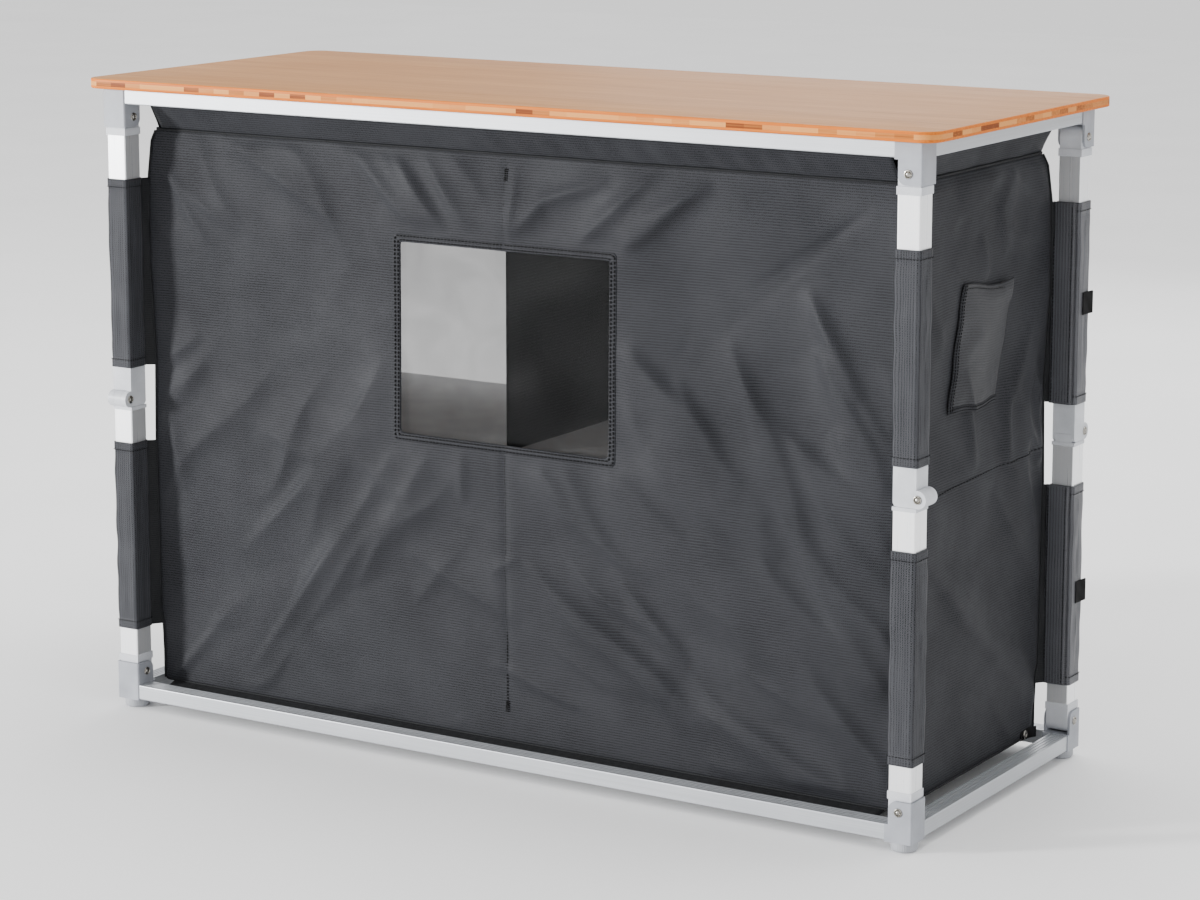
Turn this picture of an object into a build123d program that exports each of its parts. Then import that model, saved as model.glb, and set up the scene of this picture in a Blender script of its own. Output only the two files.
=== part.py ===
from build123d import *
import os

# Folding camping cupboard. Sizes are millimetres. The origin is on the floor under the
# middle of the frame, X runs along the worktop and Z is up. The side with the window
# faces -Y, the side that the shelves open to faces +Y.
#
# Two frames of aluminium rail, one under the worktop and one on the floor, are joined by
# four legs that fold in half at a knee. Each leg folds along the next side of the frame,
# going round, so all four lie flat between the rails. The knee axis stands outside the
# tube, so the weight of the worktop holds the straight leg against its stop.

# Frame
frame_length = 1000.0
frame_depth = 400.0
foot_height = 10.3
foot_radius = 13.5
foot_edge_bevel = 1.5
foot_travel = 8.0
stem_radius = 4.0
stem_length = 14.0

# Corner moulding: a block that takes two rails, with a fork above it for the leg
corner_size = 30.0
corner_edge_round = 2.0
fork_wall = 2.5
fork_floor_rise = 17.9
pivot_rise = 31.4
ear_reach = 11.0
ear_round = 9.0
spigot_length = 25.0

# Rail: hollow extrusion with grooves along one broad face
rail_width = 21.5
rail_height = 16.5
rail_wall = 1.8
rail_round = 1.2
rail_face_inset = 1.0
base_rail_lift = 1.1
groove_width = 1.3
groove_depth = 0.8
groove_pitch = 4.2
groove_count = 4

# Leg
leg_half = 313.7
tube_size = 25.0
tube_wall = 1.5
tube_round = 1.5
plug_length = 25.0
collar_height = 8.0
collar_overhang = 0.7
knee_offset = 14.0
barrel_radius = 9.0
knuckle_half = 5.0
tenon_half = 9.4
ring_height = 3.8
ring_overhang = 0.5
cap_height = 40.0
cheek_round = 5.0
pin_radius = 2.5
rivet_head_radius = 4.5
rivet_crown_radius = 2.8
rivet_head_height = 2.0

# Cloth sleeves round the tubes, each as far from its end pivot as these values say
sleeve_wall = 0.9
sleeve_length = 213.0
lower_sleeve_start = 51.0
upper_sleeve_start = 68.0
sleeve_round = 2.0

# Worktop
worktop_overhang_x = 17.5
worktop_overhang_y = 11.5
worktop_thickness = 11.0
worktop_corner = 20.0
worktop_edge_bevel = 1.0

# Fabric body
body_inset = 40.0
body_bottom = 28.0
body_top_drop = 46.5
cloth = 1.2
panel_bulge = 6.0
header_overlap = 12.0
window_width = 260.0
window_height = 205.0
window_sill = 349.0
film_thickness = 0.6
film_margin = 6.0
bay_border = 14.0
bay_sill = 20.0
flap_y = (-44.0, 70.0)
flap_z = (408.0, 541.0)
flap_slant = 20.0
flap_margin = 16.0
roll_radius = 17.0
roll_drop = 24.0

# Boards
board_thickness = 6.0
shelf_top = 342.0
board_gap = 8.0

# Clearances
pin_play = 0.05
open_pivot_play = 0.3
knee_play = 0.2
tongue_play = 0.3
fit_play = 0.1
cloth_play = 0.3
cutter_reach = 30.0

# Places that follow from the sizes
post_inset = corner_size / 2
base_pivot_z = foot_height + pivot_rise
knee_z = base_pivot_z + leg_half
top_pivot_z = knee_z + leg_half
worktop_bottom = top_pivot_z + pivot_rise
ear_top = pivot_rise + ear_reach
tongue_radius = post_inset - fork_wall - tongue_play
collar_half = tube_size / 2 + collar_overhang
tube_start = tongue_radius + collar_height
knee_drop = barrel_radius + knee_play + ring_height
rail_centre = post_inset - rail_face_inset - rail_width / 2
rail_inner_x = frame_length / 2 - rail_face_inset - rail_width
rail_inner_y = frame_depth / 2 - rail_face_inset - rail_width
body_x = frame_length / 2 - body_inset
body_y = frame_depth / 2 - body_inset
body_top = worktop_bottom - body_top_drop

# The four legs: corner of the frame and the turn of the leg's own axes. In those axes
# X is the way the leg folds, Y is its hinge axis and the post stands on the origin.
legs = {
    "window_right": (1, -1, 180),
    "shelf_right": (1, 1, 270),
    "shelf_left": (-1, 1, 0),
    "window_left": (-1, -1, 90),
}
# The leg whose upper half carries the top frame. The other three top pivots run loose.
carrying_leg = "shelf_right"


def at_post(leg, shape, z=0.0):
    """Moves a shape from a leg's own axes to its corner of the frame."""
    sx, sy, turn = legs[leg]
    x = sx * (frame_length / 2 - post_inset)
    y = sy * (frame_depth / 2 - post_inset)
    return Location((x, y, z), (0, 0, turn)) * shape


def slab(x0, x1, y0, y1, z0, z1):
    """A block between two values on each axis."""
    middle = Pos((x0 + x1) / 2, (y0 + y1) / 2, (z0 + z1) / 2)
    return middle * Box(x1 - x0, y1 - y0, z1 - z0)


def across(sketch, y0, y1):
    """Extrudes a sketch drawn in X and Z along Y, from y0 to y1."""
    face = Plane.XZ.offset(-y0) * sketch
    return extrude(face, -(y1 - y0))


def rod(radius, y0, y1):
    """A cylinder along the hinge axis."""
    return across(Circle(radius), y0, y1)


def square_tube(half, wall, corner, z0, z1):
    """A square tube that stands on the leg's axis."""
    outer = RectangleRounded(2 * half, 2 * half, corner)
    bore = Rectangle(2 * (half - wall), 2 * (half - wall))
    return Pos(0, 0, z0) * extrude(outer - bore, z1 - z0)


def rivet(grip):
    """Shank of length grip along Y with a low tapered head at each end."""
    foot = grip / 2
    tip = foot + rivet_head_height
    half = [(0, tip), (rivet_crown_radius, tip), (rivet_head_radius, foot), (pin_radius, foot)]
    outline = half + [(r, -y) for r, y in reversed(half)]
    return revolve(make_face(Polyline(*outline, close=True)), Axis.Y)


# Corner mouldings


def rail_section():
    """The rail's cut end, with its outer face on the right and its grooves on top."""
    section = RectangleRounded(rail_width, rail_height, rail_round)
    section -= Rectangle(rail_width - 2 * rail_wall, rail_height - 2 * rail_wall)
    for i in range(groove_count):
        x = (i - (groove_count - 1) / 2) * groove_pitch
        section -= Pos(x, rail_height / 2) * Rectangle(groove_width, 2 * groove_depth)
    return section


def corner_moulding(rail_lift):
    """Block, fork and rail spigots in the leg's axes, standing on Z = 0.

    The side view is one outline: the block below, the ear with its round shoulder above.
    The fork is cut out of it, open toward the fold, between two ears and an outer wall.
    """
    half = corner_size / 2
    outline = Polyline(
        (-half, 0), (half, 0), (half, fork_floor_rise), (ear_reach, fork_floor_rise),
        (ear_reach, ear_top), (-half, ear_top), close=True,
    )
    side = make_face(outline)
    shoulder = [v for v in side.vertices() if v.X > 0 and v.Z + v.Y > ear_top - 0.1]
    side = fillet(shoulder, ear_round)
    body = across(side, -half, half)
    posts = body.edges().filter_by(Axis.Z).group_by(Axis.X)[0]
    body = fillet(posts, corner_edge_round)
    body -= slab(
        fork_wall - half, half + 1, fork_wall - half, half - fork_wall,
        fork_floor_rise, ear_top + 1,
    )
    body -= Pos(0, 0, pivot_rise) * rod(pin_radius + pin_play, -half - 1, half + 1)
    spigot_w = rail_width / 2 - rail_wall - fit_play
    spigot_h = rail_height / 2 - rail_wall - fit_play
    middle = rail_lift + rail_height / 2
    end = half + spigot_length
    body += slab(
        half - 1, end, rail_centre - spigot_w, rail_centre + spigot_w,
        middle - spigot_h, middle + spigot_h,
    )
    body += slab(
        -rail_centre - spigot_w, -rail_centre + spigot_w, -end, 1 - half,
        middle - spigot_h, middle + spigot_h,
    )
    return body


def base_corner():
    """Lower corner with the threaded bore of its foot."""
    bore = Cylinder(
        stem_radius + fit_play, stem_length + 1, align=(Align.CENTER, Align.CENTER, Align.MIN)
    )
    return corner_moulding(base_rail_lift) - bore


def top_corner():
    """Upper corner: the mirror image, hanging under Z = 0."""
    return mirror(corner_moulding(0.0), Plane.XY)


def foot():
    """Levelling foot with its stem, standing on Z = 0."""
    disc = extrude(Circle(foot_radius), foot_height)
    rims = disc.edges().filter_by(GeomType.CIRCLE).group_by(Axis.Z)[0]
    disc = chamfer(rims, foot_edge_bevel)
    stem = Pos(0, 0, foot_height) * extrude(Circle(stem_radius), stem_length - foot_travel / 2)
    return disc + stem


# Legs


def end_fitting(play):
    """Tongue, collar and plug at the base end of a leg, with the pivot at the origin."""
    r = tongue_radius
    tongue = across(Circle(r) + Pos(0, r / 2) * Rectangle(2 * r, r), -r, r)
    c = collar_half
    collar = slab(-c, c, -c, c, r, tube_start)
    p = tube_size / 2 - tube_wall - fit_play
    plug = slab(-p, p, -p, p, tube_start, tube_start + plug_length)
    return tongue + collar + plug - rod(pin_radius + play, -r - 1, r + 1)


def lower_knee():
    """Ring, tenon and middle knuckle, with the knee axis at the origin."""
    h = tube_size / 2
    p = h - tube_wall - fit_play
    r = h + ring_overhang
    top = -barrel_radius - knee_play
    e = knee_offset
    fitting = slab(e - r, e + r, -r, r, -knee_drop, top)
    fitting += slab(e - p, e + p, -p, p, -knee_drop - plug_length, -knee_drop)
    fitting += slab(0, e + h, -tenon_half, tenon_half, top, -knee_play)
    room = rod(barrel_radius + knee_play, -tenon_half - 1, tenon_half + 1)
    fitting -= room - rod(barrel_radius + 1, -knuckle_half, knuckle_half)
    fitting += rod(barrel_radius, -knuckle_half, knuckle_half)
    return fitting - rod(pin_radius + pin_play, -h, h)


def upper_knee():
    """Cap, cheeks and outer knuckles, with the knee axis at the origin.

    The cheeks reach down on both sides of the tenon and end level with the barrel.
    """
    h = tube_size / 2
    p = h - tube_wall - fit_play
    e = knee_offset
    inner = knuckle_half + knee_play
    fitting = slab(e - h, e + h, -h, h, 0, cap_height)
    fitting += slab(e - p, e + p, -p, p, cap_height, cap_height + plug_length)
    cheek = Pos((e + h) / 2, -barrel_radius / 2) * Rectangle(e + h, barrel_radius)
    corner = cheek.vertices().sort_by(Axis.X)[-2:].sort_by(Axis.Y)[0]
    cheek = fillet(corner, cheek_round) + Circle(barrel_radius)
    for y0, y1 in ((tenon_half + fit_play, h), (-h, -tenon_half - fit_play)):
        fitting += across(cheek, y0, y1)
    for y0, y1 in ((inner, h), (-h, -inner)):
        fitting += rod(barrel_radius, y0, y1)
    fitting -= rod(barrel_radius + knee_play, -inner, inner)
    return fitting - rod(pin_radius + pin_play, -h - 1, h + 1)


def leg_pieces(leg):
    """All the pieces of one leg, in place: {name: shape}."""
    turned = Pos(-knee_offset, 0, knee_z)
    play = pin_play if leg == carrying_leg else open_pivot_play
    low_end = Pos(0, 0, base_pivot_z) * end_fitting(pin_play)
    high_end = Pos(0, 0, top_pivot_z) * mirror(end_fitting(play), Plane.XY)
    half = tube_size / 2
    sleeve_half = half + fit_play + sleeve_wall
    low_sleeve = base_pivot_z + lower_sleeve_start
    high_sleeve = top_pivot_z - upper_sleeve_start - sleeve_length
    lower_tube = square_tube(
        half, tube_wall, tube_round, base_pivot_z + tube_start, knee_z - knee_drop
    )
    upper_tube = square_tube(
        half, tube_wall, tube_round, knee_z + cap_height, top_pivot_z - tube_start
    )
    sleeves = [
        square_tube(sleeve_half, sleeve_wall, sleeve_round, z, z + sleeve_length)
        for z in (low_sleeve, high_sleeve)
    ]
    pieces = {
        "lower_tube": lower_tube,
        "lower_fittings": [low_end, turned * lower_knee()],
        "lower_sleeve": sleeves[0],
        "upper_tube": upper_tube,
        "upper_fittings": [high_end, turned * upper_knee()],
        "upper_sleeve": sleeves[1],
        "knee_pin": turned * rivet(tube_size),
    }
    placed = {}
    for name, shape in pieces.items():
        group = shape if isinstance(shape, list) else [shape]
        placed[f"{name}_{leg}"] = [at_post(leg, s) for s in group]
    return placed


# Rails


def rail(along_x, sign, z, upside_down):
    """One rail between two corners, its outer face outward, its lower face at z."""
    span = (frame_length if along_x else frame_depth) - 2 * corner_size
    section = rail_section()
    if upside_down:
        section = mirror(section, Plane.XZ)
    bar = extrude(Plane.XZ * section, span / 2, both=True)
    width = frame_depth if along_x else frame_length
    out = width / 2 - rail_face_inset - rail_width / 2
    turn = (90 if sign > 0 else -90) if along_x else (0 if sign > 0 else 180)
    x = 0 if along_x else sign * out
    y = sign * out if along_x else 0
    return Location((x, y, z + rail_height / 2), (0, 0, turn)) * bar


def worktop():
    """Bamboo board with round corners in plan and eased edges."""
    length = frame_length + 2 * worktop_overhang_x
    depth = frame_depth + 2 * worktop_overhang_y
    board = extrude(RectangleRounded(length, depth, worktop_corner), worktop_thickness)
    rims = board.edges().group_by(Axis.Z)
    board = chamfer(rims[0] + rims[-1], worktop_edge_bevel)
    return Pos(0, 0, worktop_bottom) * board


# Fabric body


def body_section(grow, swell, z):
    """Plan outline of the body at height z: two bulges on the window side, one per end."""
    x = body_x + grow
    y = body_y + grow
    b = panel_bulge * swell
    window = [
        ThreePointArc((-x, -y), (-x / 2, -y - b), (0, -y)),
        ThreePointArc((0, -y), (x / 2, -y - b), (x, -y)),
    ]
    right = ThreePointArc((x, -y), (x + b, 0), (x, y))
    left = ThreePointArc((-x, y), (-x - b, 0), (-x, -y))
    open_side = Line((x, y), (-x, y))
    return Pos(0, 0, z) * make_face(window + [right, open_side, left])


def body_form(grow, bottom):
    """The swelling of the body, drawn in at the shelf and at both ends of its height."""
    shelf = shelf_top - board_thickness / 2
    stations = [
        (bottom, 0.1), ((body_bottom + shelf) / 2, 1.0), (shelf, 0.05),
        ((shelf + body_top) / 2, 1.0), (body_top, 0.1),
    ]
    return loft([body_section(grow, swell, z) for z, swell in stations])


def strip(points, length, long_side):
    """A cloth strip with the given cut outline (distance out, height), on both sides."""
    face = make_face(Polyline(*points, close=True))
    one = across(face, -length / 2, length / 2)
    turns = (90, -90) if long_side else (0, 180)
    return [Rot(0, 0, turn) * one for turn in turns]


def cover():
    """Body of grey cloth, open at the top and to the shelf side, with its strips."""
    shell = body_form(0, body_bottom) - body_form(-cloth, body_bottom + cloth)
    sill = body_bottom + bay_sill
    for side in (-1, 1):
        x0, x1 = sorted((side * bay_border, side * (body_x - bay_border)))
        shell -= slab(
            x0, x1, body_y - cutter_reach, body_y + cutter_reach, sill, body_top - bay_sill
        )
    w = window_width / 2
    window_top = window_sill + window_height
    shell -= slab(-w, w, -body_y - cutter_reach, -body_y + cutter_reach, window_sill, window_top)
    m = flap_margin
    shell -= slab(
        body_x - cutter_reach, body_x + cutter_reach, flap_y[0] + m, flap_y[1] - m,
        flap_z[0] + m, flap_z[1] - m,
    )
    strips = []
    low = worktop_bottom - rail_height
    for half, inner, length, long_side in (
        (body_y, rail_inner_y, 2 * body_x - 4, True),
        (body_x, rail_inner_x, 2 * body_y - 4, False),
    ):
        out = inner - cloth_play
        header = [
            (half, body_top - 2), (out, low), (out, low + header_overlap),
            (out - cloth, low + header_overlap), (out - cloth, low), (half - cloth, body_top - 2),
        ]
        strips += strip(header, length, long_side)
    out = rail_inner_y - cloth_play
    z = foot_height + base_rail_lift + rail_height
    hem = [
        (body_y - cloth, body_bottom), (body_y - cloth, body_bottom + cloth),
        (out, z - cloth), (out, z - 2 * cloth),
    ]
    strips += strip(hem, 2 * body_x - 4, True)
    for piece in strips:
        shell += piece
    return shell


def window_film():
    """Clear film behind the window, following the panel."""
    near = -cloth - cloth_play
    film = body_form(near, body_bottom) - body_form(near - film_thickness, body_bottom)
    w = window_width / 2 + film_margin
    low = window_sill - film_margin
    high = window_sill + window_height + film_margin
    return film & slab(-w, w, -body_y - cutter_reach, -body_y / 2, low, high)


def cable_flap():
    """Flap over the cable opening in the right end, wider at the top."""
    flap = body_form(cloth_play + cloth, body_bottom) - body_form(cloth_play, body_bottom)
    y0, y1 = flap_y
    z0, z1 = flap_z
    outline = Polyline((y0 - 8, z0), (y1 - flap_slant, z0), (y1, z1), (y0, z1), close=True)
    return flap & extrude(Plane.YZ * make_face(outline), 2 * body_x)


def divider():
    """Upright cloth wall between the left and right bays, clear of the window film."""
    y = body_y - cloth - cloth_play
    near = y - film_thickness - cloth_play
    low = body_bottom + cloth + cloth_play
    return slab(-cloth / 2, cloth / 2, -near, y, low, body_top - bay_sill)


def boards(top):
    """Two boards, one on each side of the divider."""
    x = body_x - cloth - cloth_play
    y = body_y - cloth - cloth_play
    half_gap = board_gap / 2
    return [
        slab(x0, x1, -y, y, top - board_thickness, top)
        for x0, x1 in ((half_gap, x), (-x, -half_gap))
    ]


def door_rolls():
    """The two doors of the shelf side, rolled up over their bays."""
    y = body_y + cloth_play + roll_radius
    z = body_top - roll_drop
    length = body_x - 2 * bay_border
    roll = Rot(0, 90, 0) * Cylinder(roll_radius, length)
    return [Pos(side * body_x / 2, y, z) * roll for side in (-1, 1)]


# Assembly

nodes = {}
base_corner_shape = base_corner()
top_corner_shape = top_corner()
foot_shape = foot()
fork_rivet = rivet(corner_size)
for leg in legs:
    nodes.update(leg_pieces(leg))
    nodes[f"base_corner_{leg}"] = [at_post(leg, base_corner_shape, foot_height)]
    nodes[f"top_corner_{leg}"] = [at_post(leg, top_corner_shape, worktop_bottom)]
    nodes[f"foot_{leg}"] = [at_post(leg, foot_shape)]
nodes["base_rivets"] = [at_post(leg, fork_rivet, base_pivot_z) for leg in legs]
nodes["top_rivets"] = [at_post(leg, fork_rivet, top_pivot_z) for leg in legs]

for side, along_x, sign in (
    ("window", True, -1), ("shelf", True, 1), ("right", False, 1), ("left", False, -1),
):
    base_z = foot_height + base_rail_lift
    nodes[f"base_rail_{side}"] = [rail(along_x, sign, base_z, False)]
    nodes[f"top_rail_{side}"] = [rail(along_x, sign, worktop_bottom - rail_height, True)]

nodes["worktop"] = [worktop()]
nodes["cover"] = [cover()]
nodes["window_film"] = [window_film()]
nodes["divider"] = [divider()]
nodes["cable_flap"] = [cable_flap()]
nodes["door_rolls"] = door_rolls()
nodes["shelf_boards"] = boards(shelf_top)
nodes["base_boards"] = boards(body_bottom + cloth + cloth_play + board_thickness)

os.makedirs("parts", exist_ok=True)
for name, shapes in nodes.items():
    solids = [s for shape in shapes for s in shape.solids()]
    export_step(Compound(solids) if len(solids) > 1 else solids[0], f"parts/{name}.step")
print(len(nodes), "nodes")
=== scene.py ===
import math

import bmesh
import bpy
import numpy as np
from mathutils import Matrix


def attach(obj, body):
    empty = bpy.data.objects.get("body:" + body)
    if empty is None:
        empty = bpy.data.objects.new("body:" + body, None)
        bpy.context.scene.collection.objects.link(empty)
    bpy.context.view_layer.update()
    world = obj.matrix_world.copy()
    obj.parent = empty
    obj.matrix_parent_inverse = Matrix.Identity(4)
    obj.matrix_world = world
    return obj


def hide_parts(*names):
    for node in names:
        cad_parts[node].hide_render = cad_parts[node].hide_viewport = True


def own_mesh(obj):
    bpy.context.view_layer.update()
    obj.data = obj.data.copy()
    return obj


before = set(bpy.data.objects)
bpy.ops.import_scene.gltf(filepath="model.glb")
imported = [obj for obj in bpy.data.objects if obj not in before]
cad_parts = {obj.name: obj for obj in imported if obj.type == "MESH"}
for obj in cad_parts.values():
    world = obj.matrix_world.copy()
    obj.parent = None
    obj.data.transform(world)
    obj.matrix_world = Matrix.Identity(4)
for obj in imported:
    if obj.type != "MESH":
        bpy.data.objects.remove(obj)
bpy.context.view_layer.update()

# Folding camping cupboard. Metres: the floor is at Z = 0, the window side faces -Y, the
# side that the shelves open to faces +Y, the cable flap is on the +X end.

# Sizes taken over from the construction, in metres
BODY_X, BODY_Y = .460, .160
BODY_LOW, BODY_TOP = .028, .654
POST_X, POST_Y = .485, .185
RAIL_IN_X, RAIL_IN_Y = .4775, .1775
TOP_RAIL_LOW = .684
BOARD_LOW, BOARD_TOP = .7005, .7115
WINDOW_X, WINDOW_LOW, WINDOW_TOP = .130, .349, .554
FLAP_HOLE_Y, FLAP_HOLE_Z = (-.028, .054), (.424, .525)
BASE_PIVOT, TOP_PIVOT, KNEE = .0417, .6691, .3554
KNEE_OUT = .014

# Sizes of the cloth, in metres: its thickness, the window's border, the middle seam, the headers' half
# lengths, and the height of the shelf's seam
CLOTH = .0009
BORDER_X, BORDER_LOW, BORDER_TOP = .137, .342, .561
MIDDLE_SEAM = .002
HEADER_X, HEADER_Y = BODY_X - .006, BODY_Y - .008
SHELF_Z = .339

# The heights in the tables of folds are multiplied by the gain.
FOLD_GAIN = 3.1

LEGS = {
    "window_right": (1, -1), "shelf_right": (1, 1),
    "shelf_left": (-1, 1), "window_left": (-1, -1),
}


# ---- camera, floor, lights

camera = bpy.data.cameras.new("camera")
camera.lens = 100.21
camera.sensor_width = 36
camera.shift_y = -.08315
camera_object = bpy.data.objects.new("camera", camera)
camera_object.location = (1.89512, -3.01309, 1.05417)
camera_object.rotation_euler = (math.radians(79.98), 0, math.radians(31.93))
bpy.context.scene.collection.objects.link(camera_object)
bpy.context.scene.camera = camera_object


def rgb(code):
    """Linear colour of an sRGB hex value: c/12.92 up to 0.04045, else ((c+0.055)/1.055)^2.4."""
    c = np.array([int(code[i:i + 2], 16) for i in (1, 3, 5)]) / 255
    linear = np.where(c <= .04045, c / 12.92, ((c + .055) / 1.055) ** 2.4)
    return (*(float(v) for v in linear), 1.0)


def soft_box(name, place, aim, size, watts):
    """A white rectangular studio light at place that faces aim."""
    light = bpy.data.lights.new(name, "AREA")
    light.shape = "RECTANGLE"
    light.size, light.size_y = size
    light.energy = watts
    lamp = bpy.data.objects.new(name, light)
    lamp.location = place
    away = np.array(place, float) - np.array(aim, float)
    away /= np.linalg.norm(away)
    lamp.rotation_euler = (math.acos(away[2]), 0, math.atan2(away[1], away[0]) + math.pi / 2)
    bpy.context.scene.collection.objects.link(lamp)


# The key stands far to the left and low, so that it grazes the cloth and models its folds
soft_box("key_light", (-6.4, -6.0, 1.6), (0, 0, .35), (1.0, 1.0), 1280)
soft_box("right_light", (3.0, -1.6, 1.5), (0, 0, .35), (1.4, 1.4), 7)
soft_box("top_light", (.2, .6, 3.2), (0, 0, .5), (2.6, 2.0), 60)
soft_box("back_light", (-.6, 3.0, 1.6), (0, 0, .35), (2.4, 1.6), 22)


# ---- node material helpers


def feed(tree, made, sockets):
    """Gives each socket of a node, named or numbered, a value or a link.

    A link is given as the node that it comes from, for its first output, or (node, output).
    """
    for key, value in sockets.items():
        if isinstance(value, bpy.types.Node):
            value = (value, 0)
        if isinstance(value, tuple) and isinstance(value[0], bpy.types.Node):
            tree.links.new(value[0].outputs[value[1]], made.inputs[key])
        else:
            made.inputs[key].default_value = value


def add(tree, kind, sockets=None, **settings):
    """Adds one shader node, sets its settings and feeds its sockets."""
    made = tree.nodes.new("ShaderNode" + kind)
    for key, value in settings.items():
        setattr(made, key, value)
    feed(tree, made, sockets or {})
    return made


def maths(tree, operation, *values):
    """A math node over one to three values."""
    return add(tree, "Math", dict(enumerate(values)), operation=operation)


def noise(tree, vector, scale, detail, **more):
    """A noise texture, scale in cycles per metre. more holds values for further sockets."""
    return add(tree, "TexNoise", {"Vector": vector, "Scale": scale, "Detail": detail, **more})


def spread(tree, source, low, high, start=.3, end=.7):
    """Maps source from the range start to end onto low to high."""
    return add(tree, "MapRange", {
        "Value": source, "From Min": start, "From Max": end, "To Min": low, "To Max": high})


def bump(tree, source, strength, distance):
    """Turns a height pattern into a normal."""
    return add(tree, "Bump", {"Strength": strength, "Distance": distance, "Height": source})


def ramp(tree, source, *stops):
    """A colour ramp over stops (position, sRGB hex)."""
    made = add(tree, "ValToRGB", {"Fac": source})
    line = made.color_ramp.elements
    while len(line) < len(stops):
        line.new(.5)
    for element, (position, code) in zip(line, stops):
        element.position = position
        element.color = rgb(code)
    return made


def material(name, **values):
    """An empty node material, its tree and its shader, with values for the shader's sockets.

    Here and in join, a socket's name has underscores for its spaces.
    """
    made = bpy.data.materials.new(name)
    made.use_nodes = True
    tree = made.node_tree
    tree.nodes.clear()
    shader = add(tree, "BsdfPrincipled", {key.replace("_", " "): v for key, v in values.items()})
    add(tree, "OutputMaterial", {"Surface": (shader, "BSDF")})
    return made, tree, shader


def join(tree, shader, **links):
    """Links nodes to the shader's sockets."""
    feed(tree, shader, {key.replace("_", " "): source for key, source in links.items()})


# ---- materials


def woven_polyester(name, dark, light, thread=.0033, rough=.60, gloss=.12, turn=0.0):
    """Coated 600-denier polyester in plain weave, laid out in the piece's own UV metres.

    The eye sees crossing threads of two greys and a faint sheen from the coating. The real
    threads are 0.35 mm apart; they are drawn seven to nine times as coarse, so that they show.
    """
    made, tree, shader = material(name, Specular_IOR_Level=gloss, Sheen_Weight=.02, Sheen_Roughness=.45)
    place = add(tree, "UVMap", uv_map="UVMap")
    place = add(tree, "Mapping", {"Vector": place, "Rotation": (0, 0, turn)})
    wander = noise(tree, place, 22, 2)
    bent = add(tree, "VectorMath", {0: (wander, "Color"), 1: (.0011, .0011, 0)}, operation="MULTIPLY")
    bent = add(tree, "VectorMath", {0: place, 1: bent}, operation="ADD")
    part = add(tree, "SeparateXYZ", {"Vector": bent})
    waves = []
    for output, pitch in (("X", thread * .74), ("Y", thread)):
        turned = maths(tree, "MULTIPLY", (part, output), 2 * math.pi / pitch)
        waves.append(maths(tree, "SINE", turned))
    # Plain weave: the product of the two thread waves tells which thread lies on top
    over = maths(tree, "MULTIPLY", (waves[0], 0), (waves[1], 0))
    rows = maths(tree, "MULTIPLY", (waves[1], 0), .60)
    cloth = maths(tree, "MULTIPLY_ADD", over, .75, rows)
    cloth = spread(tree, cloth, 0, 1, -1.3, 1.3)
    fleck = noise(tree, place, 900, 1)
    cloud = noise(tree, place, 9, 4, Roughness=.6)
    mixed = maths(tree, "MULTIPLY_ADD", cloth, .62, fleck)
    mixed = maths(tree, "MULTIPLY_ADD", cloud, .35, mixed)
    colour = ramp(tree, mixed, (.72, dark), (1.0, light))
    worn = spread(tree, cloud, rough + .08, rough - .08, .35)
    height = bump(tree, mixed, .6, .0004)
    join(tree, shader, Base_Color=colour, Roughness=worn, Normal=height)
    return made


def aluminium(name, stretch, dark, light, rough):
    """Extruded aluminium, satin anodised: even silver grey with fine drawing lines.

    The lines run along the extrusion. Real ones are 0.05 mm apart, drawn at about 1 mm.
    stretch gives the pattern's scale along X, Y and Z in cycles per metre.
    """
    made, tree, shader = material(name, Metallic=.7)
    place = add(tree, "TexCoord")
    lines = add(tree, "Mapping", {"Vector": (place, "Object"), "Scale": stretch})
    grain = noise(tree, lines, 1, 3, Roughness=.6)
    cloud = noise(tree, (place, "Object"), 14, 3)
    mixed = maths(tree, "MULTIPLY_ADD", cloud, .4, grain)
    colour = ramp(tree, mixed, (.45, dark), (.95, light))
    worn = spread(tree, grain, rough - .03, rough + .03)
    height = bump(tree, grain, .03, .0001)
    join(tree, shader, Base_Color=colour, Roughness=worn, Normal=height)
    return made


def moulded_nylon(name, dark, light, rough=.46):
    """Glass-filled nylon, injection moulded with a fine spark texture: satin, slightly mottled.

    The spark grain is about 0.1 mm; it is drawn at 0.7 mm.
    """
    made, tree, shader = material(name, IOR=1.53)
    place = add(tree, "TexCoord")
    grain = noise(tree, (place, "Object"), 1400, 2)
    cloud = noise(tree, (place, "Object"), 30, 3)
    mixed = maths(tree, "MULTIPLY_ADD", grain, .35, cloud)
    colour = ramp(tree, mixed, (.4, dark), (.95, light))
    worn = spread(tree, cloud, rough - .05, rough + .07)
    height = bump(tree, grain, .18, .00012)
    join(tree, shader, Base_Color=colour, Roughness=worn, Normal=height)
    return made


def polished_steel(name):
    """Nickel-plated steel rivets: bright, with turned rings so fine that only their gloss shows."""
    made, tree, shader = material(name, Metallic=1)
    place = add(tree, "TexCoord")
    cloud = noise(tree, (place, "Object"), 420, 3)
    colour = ramp(tree, cloud, (.3, "#77746E"), (.75, "#C2BFB8"))
    worn = spread(tree, cloud, .2, .36)
    join(tree, shader, Base_Color=colour, Roughness=worn)
    return made


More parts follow.
